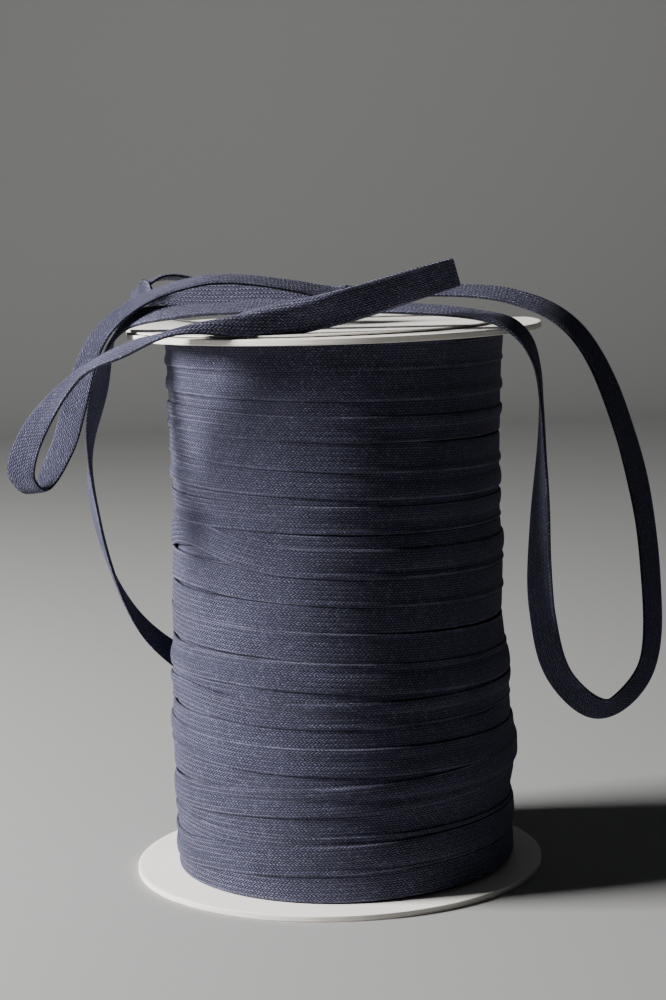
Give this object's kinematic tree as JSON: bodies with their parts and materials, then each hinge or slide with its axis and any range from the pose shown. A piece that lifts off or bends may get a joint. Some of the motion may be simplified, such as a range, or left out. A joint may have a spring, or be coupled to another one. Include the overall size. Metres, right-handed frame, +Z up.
{
  "type": "spool of drawstring cord",
  "caption": "Card-flanged spool wound with flat braided drawstring cord, its loose end folded over the top flange and hanging in loops at both sides.",
  "frame": {"origin": "on the surface that the spool stands on, below the middle of the box round its flanges and winding", "axes": "+Z up along the spool's axis; the front, where the loose end crosses over the top flange, faces -Y; the long hanging loop is at +X"},
  "size_m": [0.2169, 0.14, 0.2096],
  "materials": {
    "card": "matt warm-white card with a greyer cut edge",
    "cord": "dark slate-blue flat braid, matt with a soft sheen and fine V-shaped stitches"
  },
  "bodies": {
    "root": {"flange_bottom": "card", "flange_top": "card", "top_facing": "card", "winding": "cord", "loose_end": "cord"}
  },
  "joints": []
}
